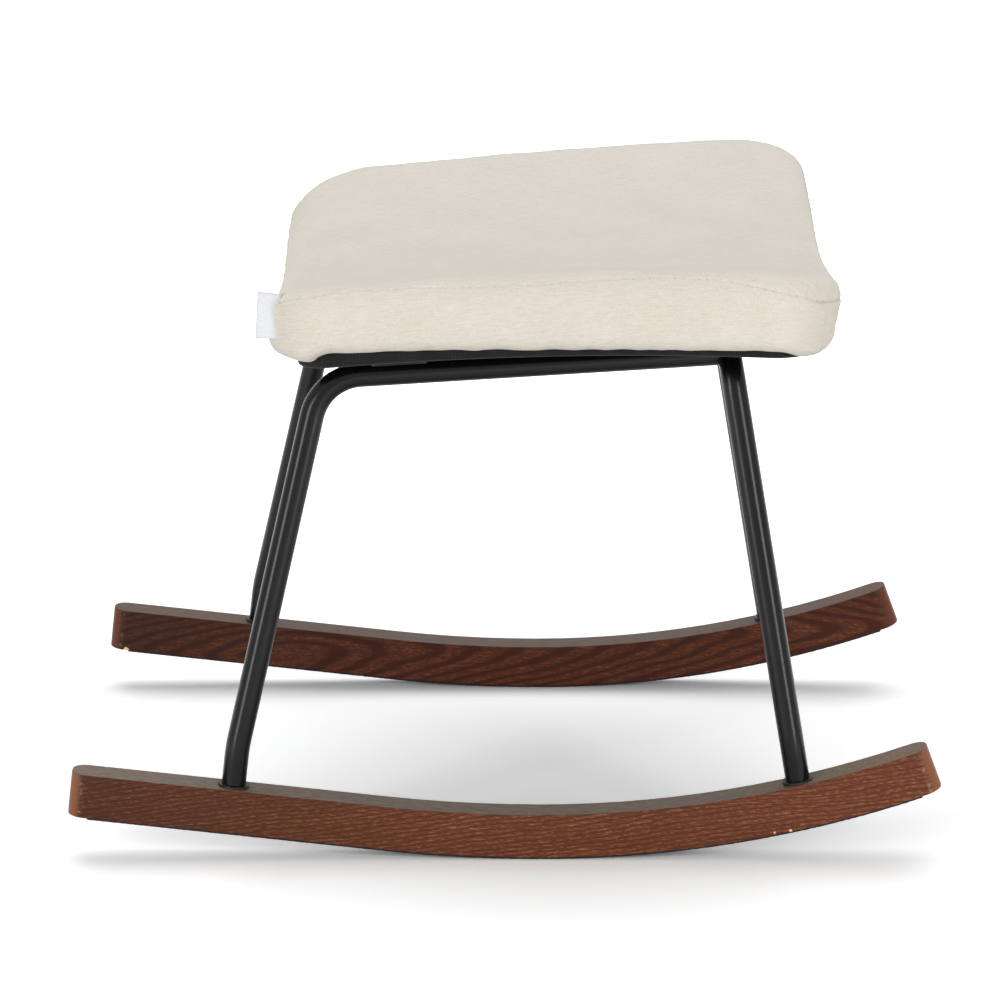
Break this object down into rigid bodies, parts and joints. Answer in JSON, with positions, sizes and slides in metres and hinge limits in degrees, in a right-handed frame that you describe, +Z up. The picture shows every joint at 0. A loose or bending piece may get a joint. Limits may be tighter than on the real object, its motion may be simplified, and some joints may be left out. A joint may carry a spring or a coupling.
{
  "type": "rocking footstool",
  "caption": "Low rocking footstool with a saddle-shaped upholstered seat on a black bent-tube frame, standing on curved wooden rockers.",
  "frame": {"origin": "on the floor, midway along the rockers and midway between them", "axes": "+X along the rockers towards the higher, wider edge of the seat; +Y across the stool to its left; +Z up"},
  "size_m": [0.6026, 0.4873, 0.4188],
  "materials": {
    "rocker_ash": "satin",
    "frame_black": "satin",
    "collar_black": "satin",
    "underside_felt": "matte",
    "zinc_hardware": "satin",
    "board_black": "matte",
    "dust_cloth": "matte",
    "seat_foam": "matte",
    "seat_cloth": "matte",
    "tag_cloth": "matte"
  },
  "bodies": {
    "root": {"right_rocker": "rocker_ash", "left_rocker": "rocker_ash", "right_felt_strip": "underside_felt", "left_felt_strip": "underside_felt", "rear_right_leg_collar": "collar_black", "rear_left_leg_collar": "collar_black", "front_right_leg_collar": "collar_black", "front_left_leg_collar": "collar_black", "right_side_tube": "frame_black", "left_side_tube": "frame_black", "front_hoop_tube": "frame_black", "rear_cross_tube": "frame_black", "rear_right_seat_plate": "frame_black", "rear_left_seat_plate": "frame_black", "front_right_seat_plate": "frame_black", "front_left_seat_plate": "frame_black", "leg_end_nuts": "zinc_hardware", "rocker_bolts": "zinc_hardware", "rocker_bolt_washers": "zinc_hardware", "seat_bolts": "zinc_hardware", "seat_bolt_washers": "zinc_hardware", "tee_nuts": "zinc_hardware", "seat_board": "board_black", "dust_cover": "dust_cloth", "foam_pad": "seat_foam", "cover_top_panel": "seat_cloth", "cover_right_panel": "seat_cloth", "cover_front_panel": "seat_cloth", "cover_left_panel": "seat_cloth", "cover_rear_panel": "seat_cloth", "side_tag": "tag_cloth"}
  },
  "joints": []
}
